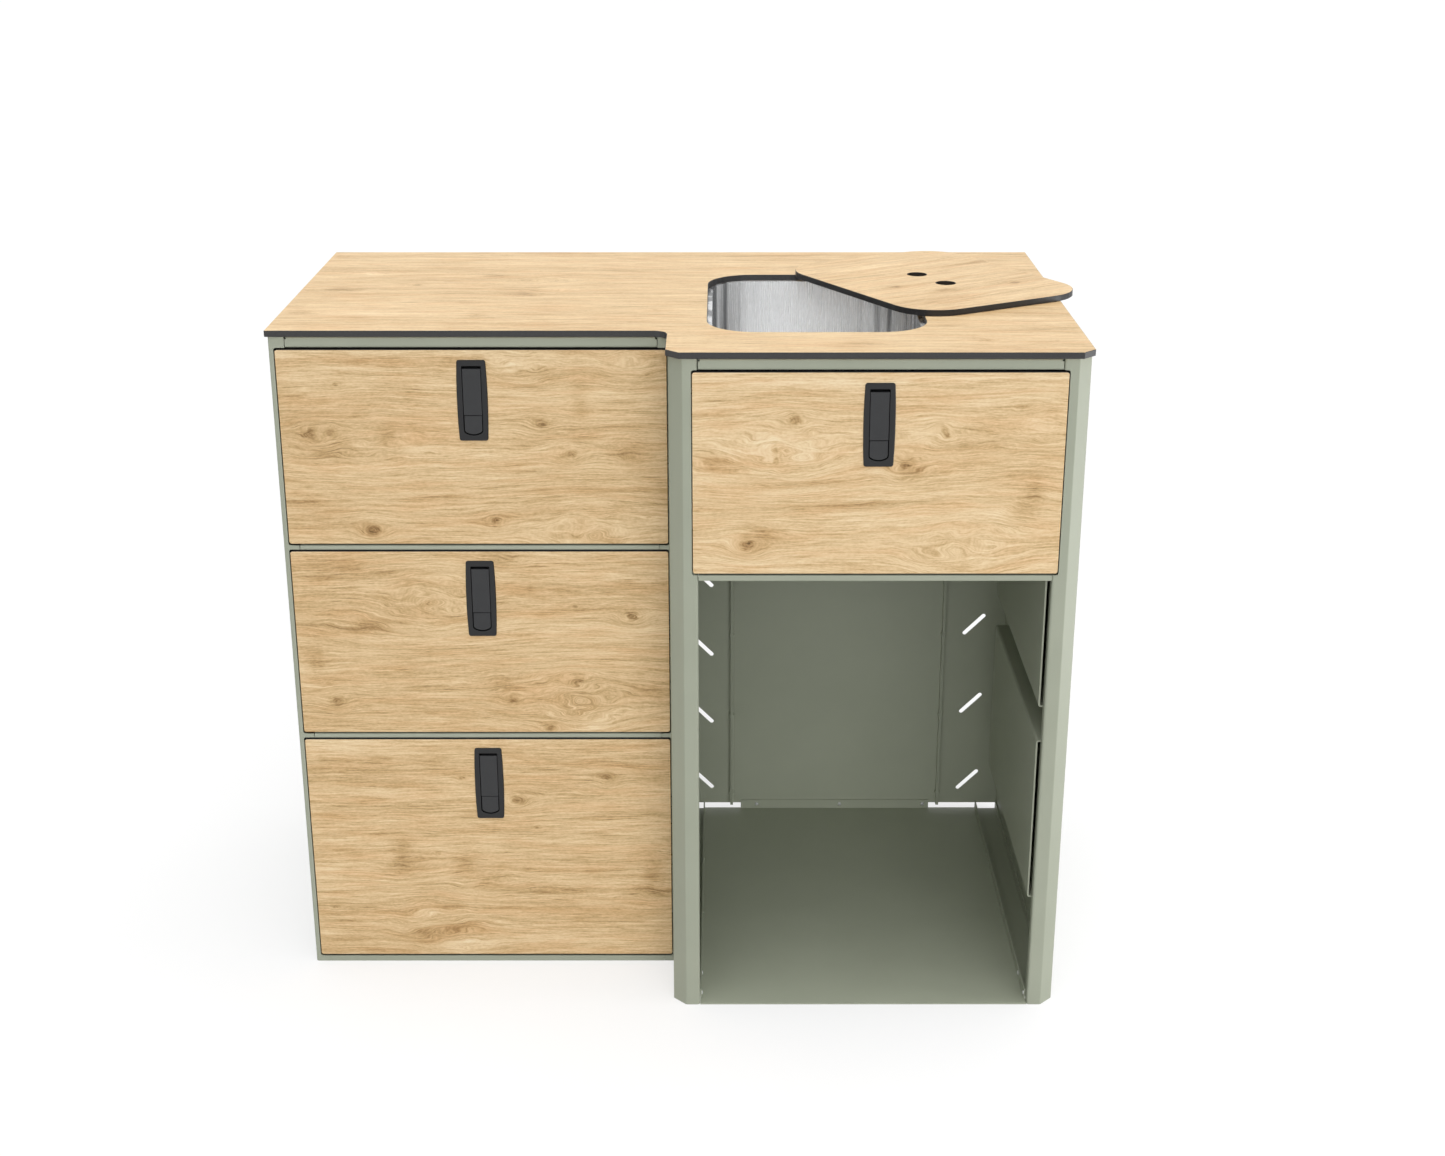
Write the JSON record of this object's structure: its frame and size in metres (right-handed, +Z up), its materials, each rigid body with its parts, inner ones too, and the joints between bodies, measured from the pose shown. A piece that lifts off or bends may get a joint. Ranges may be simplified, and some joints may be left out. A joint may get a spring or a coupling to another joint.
{
  "type": "campervan kitchen pod",
  "caption": "Stepped kitchen cabinet for a van: drawers with lever latches, an open fridge bay, a sink under a loose lid and a thin oak worktop.",
  "frame": {"origin": "on the floor under the middle of the pod's box, its lid included", "axes": "+Z up, -Y out of the drawer fronts, +X from the drawer unit towards the fridge bay"},
  "size_m": [1.0419, 0.6184, 0.9083],
  "materials": {
    "oak_laminate": "oak decor compact laminate with a dark core, satin",
    "brushed_stainless": "brushed stainless steel",
    "black_plastic": "fine textured black plastic",
    "zinc_plate": "bright zinc-plated steel",
    "sage_powder_coat": "sage green powder coat, satin"
  },
  "bodies": {
    "pod_frame": {"worktop": "oak_laminate", "sink_bowl": "brushed_stainless", "sink_drain": "brushed_stainless", "sink_drain_nut": "black_plastic", "left_side_panel": "sage_powder_coat", "middle_jamb": "sage_powder_coat", "middle_side_panel": "sage_powder_coat", "right_side_panel": "sage_powder_coat", "left_top_rail": "sage_powder_coat", "upper_drawer_rail": "sage_powder_coat", "lower_drawer_rail": "sage_powder_coat", "left_floor_pan": "sage_powder_coat", "left_back_panel": "sage_powder_coat", "right_top_rail": "sage_powder_coat", "bay_back_panel": "sage_powder_coat", "bay_floor_tray": "sage_powder_coat", "bay_shelf": "sage_powder_coat", "bay_liner_left": "sage_powder_coat", "bay_liner_lower": "sage_powder_coat", "bay_liner_middle": "sage_powder_coat", "bay_liner_upper": "sage_powder_coat", "runner_bracket_left": "zinc_plate", "runner_bracket_right": "zinc_plate", "top_runner_left": "zinc_plate", "top_runner_right": "zinc_plate", "middle_runner_left": "zinc_plate", "middle_runner_right": "zinc_plate", "bottom_runner_left": "zinc_plate", "bottom_runner_right": "zinc_plate", "sink_runner_left": "zinc_plate", "sink_runner_right": "zinc_plate"},
    "top_drawer": {"top_drawer_front": "oak_laminate", "top_drawer_box": "sage_powder_coat", "top_latch_housing": "black_plastic", "top_slide_left": "zinc_plate", "top_slide_right": "zinc_plate"},
    "top_lever": {"top_latch_lever": "black_plastic"},
    "top_button": {"top_latch_button": "black_plastic"},
    "middle_drawer": {"middle_drawer_front": "oak_laminate", "middle_drawer_box": "sage_powder_coat", "middle_latch_housing": "black_plastic", "middle_slide_left": "zinc_plate", "middle_slide_right": "zinc_plate"},
    "middle_lever": {"middle_latch_lever": "black_plastic"},
    "middle_button": {"middle_latch_button": "black_plastic"},
    "bottom_drawer": {"bottom_drawer_front": "oak_laminate", "bottom_drawer_box": "sage_powder_coat", "bottom_latch_housing": "black_plastic", "bottom_slide_left": "zinc_plate", "bottom_slide_right": "zinc_plate"},
    "bottom_lever": {"bottom_latch_lever": "black_plastic"},
    "bottom_button": {"bottom_latch_button": "black_plastic"},
    "sink_drawer": {"sink_drawer_front": "oak_laminate", "sink_drawer_box": "sage_powder_coat", "sink_latch_housing": "black_plastic", "sink_slide_left": "zinc_plate", "sink_slide_right": "zinc_plate"},
    "sink_lever": {"sink_latch_lever": "black_plastic"},
    "sink_button": {"sink_latch_button": "black_plastic"},
    "sink_lid": {"sink_lid": "oak_laminate"}
  },
  "joints": [
    {"name": "top_drawer_slide", "type": "slide", "parent": "pod_frame", "child": "top_drawer", "axis": [0, -1, 0], "range_m": [0, 0.34]},
    {"name": "top_lever_hinge", "type": "hinge", "parent": "top_drawer", "child": "top_lever", "pos_m": [-0.26497, -0.18965, 0.8485], "axis": [-1, 0, 0], "range_deg": [0, 40], "stiffness_Nm_per_rad": 0.05},
    {"name": "top_button_press", "type": "slide", "parent": "top_drawer", "child": "top_button", "axis": [0, 1, 0], "range_m": [0, 0.003], "stiffness_N_per_m": 400},
    {"name": "middle_drawer_slide", "type": "slide", "parent": "pod_frame", "child": "middle_drawer", "axis": [0, -1, 0], "range_m": [0, 0.34]},
    {"name": "middle_lever_hinge", "type": "hinge", "parent": "middle_drawer", "child": "middle_lever", "pos_m": [-0.26497, -0.18965, 0.5813], "axis": [-1, 0, 0], "range_deg": [0, 40], "stiffness_Nm_per_rad": 0.05},
    {"name": "middle_button_press", "type": "slide", "parent": "middle_drawer", "child": "middle_button", "axis": [0, 1, 0], "range_m": [0, 0.003], "stiffness_N_per_m": 400},
    {"name": "bottom_drawer_slide", "type": "slide", "parent": "pod_frame", "child": "bottom_drawer", "axis": [0, -1, 0], "range_m": [0, 0.34]},
    {"name": "bottom_lever_hinge", "type": "hinge", "parent": "bottom_drawer", "child": "bottom_lever", "pos_m": [-0.26497, -0.18965, 0.3141], "axis": [-1, 0, 0], "range_deg": [0, 40], "stiffness_Nm_per_rad": 0.05},
    {"name": "bottom_button_press", "type": "slide", "parent": "bottom_drawer", "child": "bottom_button", "axis": [0, 1, 0], "range_m": [0, 0.003], "stiffness_N_per_m": 400},
    {"name": "sink_drawer_slide", "type": "slide", "parent": "pod_frame", "child": "sink_drawer", "axis": [0, -1, 0], "range_m": [0, 0.4]},
    {"name": "sink_lever_hinge", "type": "hinge", "parent": "sink_drawer", "child": "sink_lever", "pos_m": [0.23998, -0.30265, 0.8485], "axis": [-1, 0, 0], "range_deg": [0, 40], "stiffness_Nm_per_rad": 0.05},
    {"name": "sink_button_press", "type": "slide", "parent": "sink_drawer", "child": "sink_button", "axis": [0, 1, 0], "range_m": [0, 0.003], "stiffness_N_per_m": 400},
    {"name": "sink_lid_lift", "type": "slide", "parent": "pod_frame", "child": "sink_lid", "axis": [0, 0, 1], "range_m": [0, 0.15]}
  ]
}
